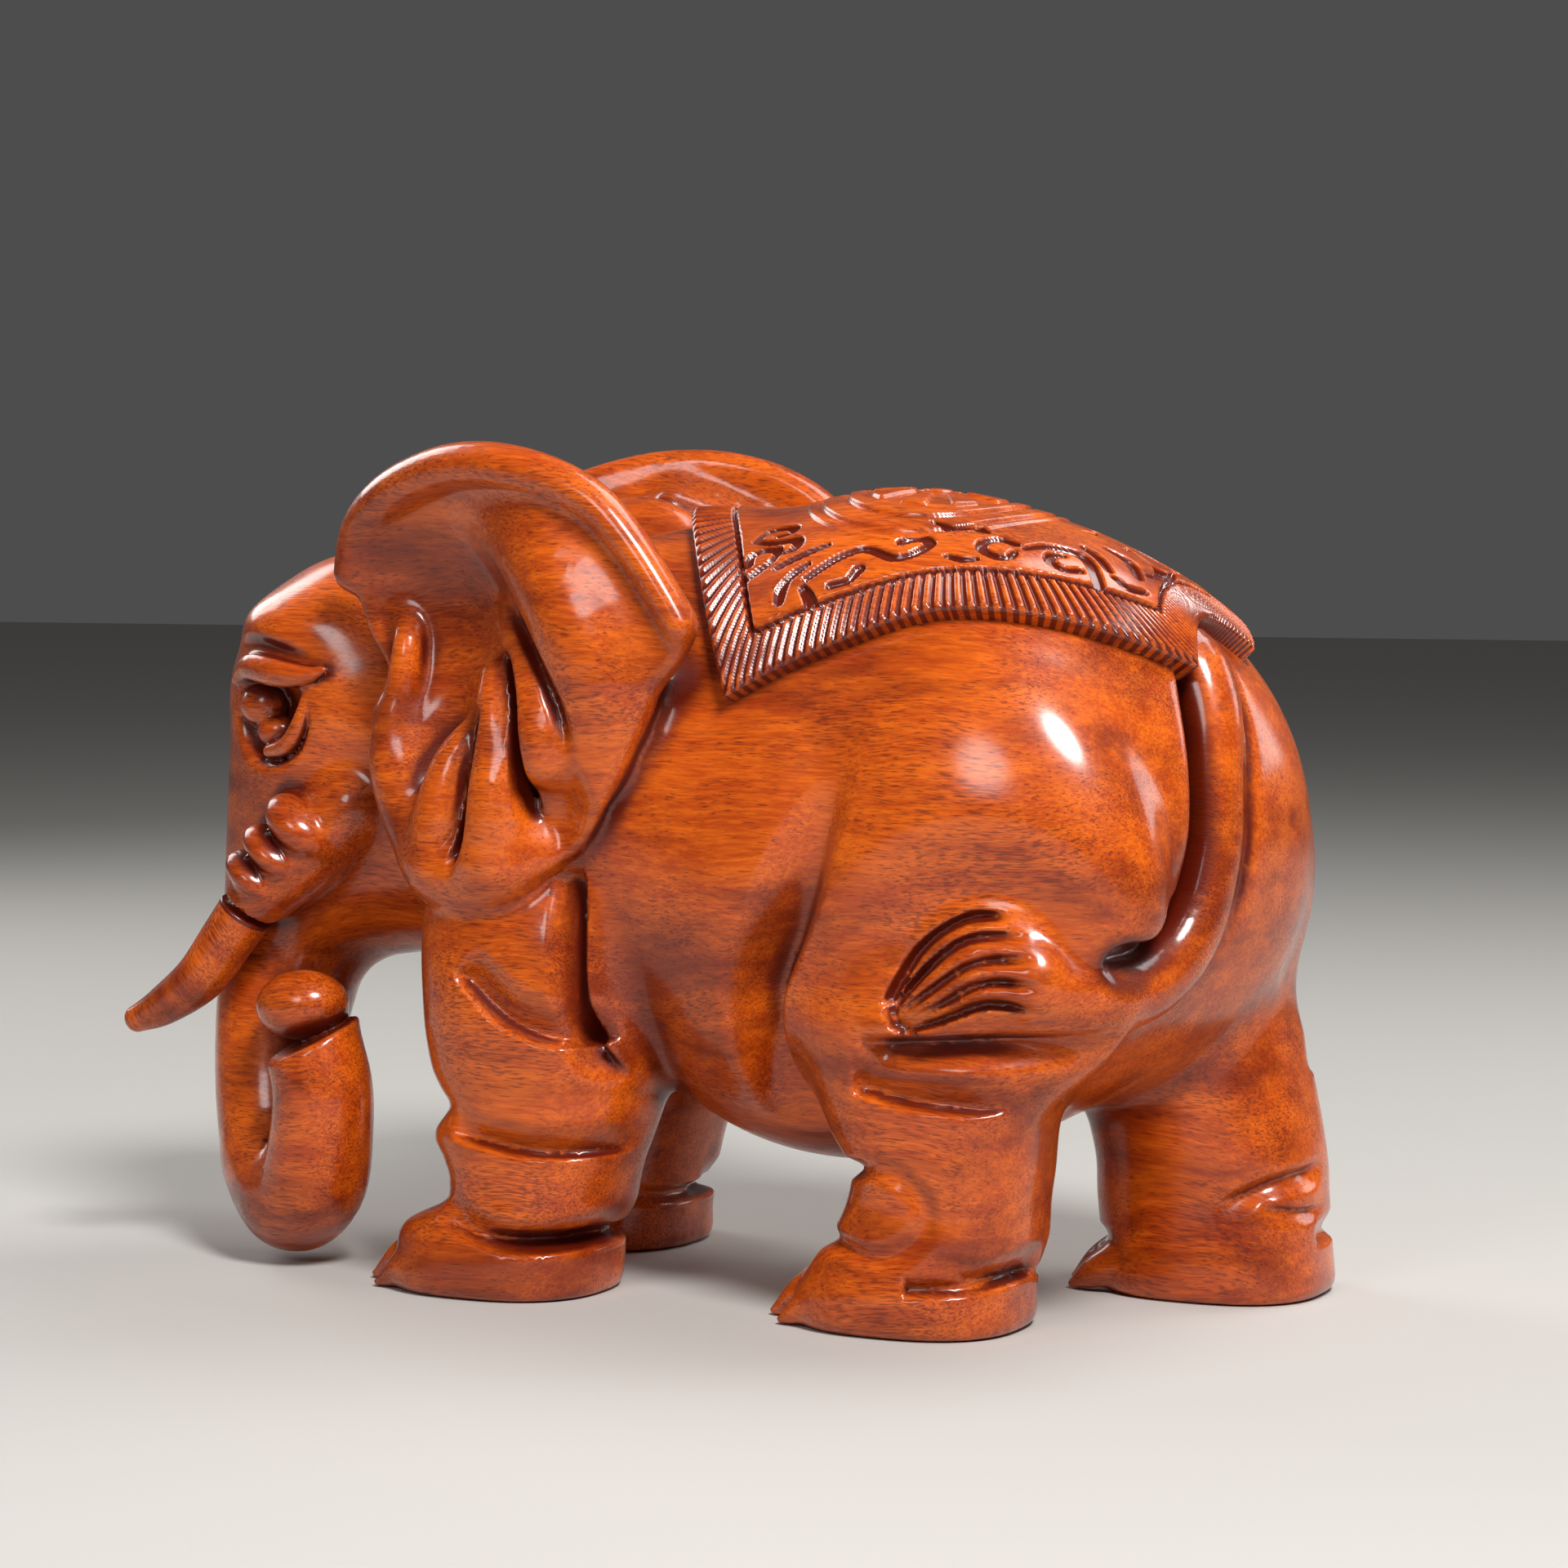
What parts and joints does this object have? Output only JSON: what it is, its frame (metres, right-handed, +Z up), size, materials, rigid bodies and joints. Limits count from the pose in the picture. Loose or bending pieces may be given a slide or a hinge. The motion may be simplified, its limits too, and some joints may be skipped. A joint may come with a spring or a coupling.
{
  "type": "carved wooden elephant figurine",
  "caption": "Standing elephant carved from solid hardwood, with a saddle cloth carved in relief, a curled trunk and separate plug-in wooden tusks.",
  "frame": {"origin": "on the surface it stands on, under the middle of the bounding box", "axes": "the head faces -Y, +X is the elephant's left side, +Z is up"},
  "size_m": [0.1376, 0.307, 0.2105],
  "materials": {
    "rosewood": "gloss"
  },
  "bodies": {
    "elephant": {"carved_body": "rosewood"},
    "left_tusk": {"tusk_left": "rosewood"},
    "right_tusk": {"tusk_right": "rosewood"}
  },
  "joints": [
    {"name": "left_tusk_pull", "type": "slide", "parent": "elephant", "child": "left_tusk", "axis": [0.0383, -0.5934, -0.804], "range_m": [0, 0.025]},
    {"name": "right_tusk_pull", "type": "slide", "parent": "elephant", "child": "right_tusk", "axis": [-0.0383, -0.5934, -0.804], "range_m": [0, 0.025]}
  ]
}
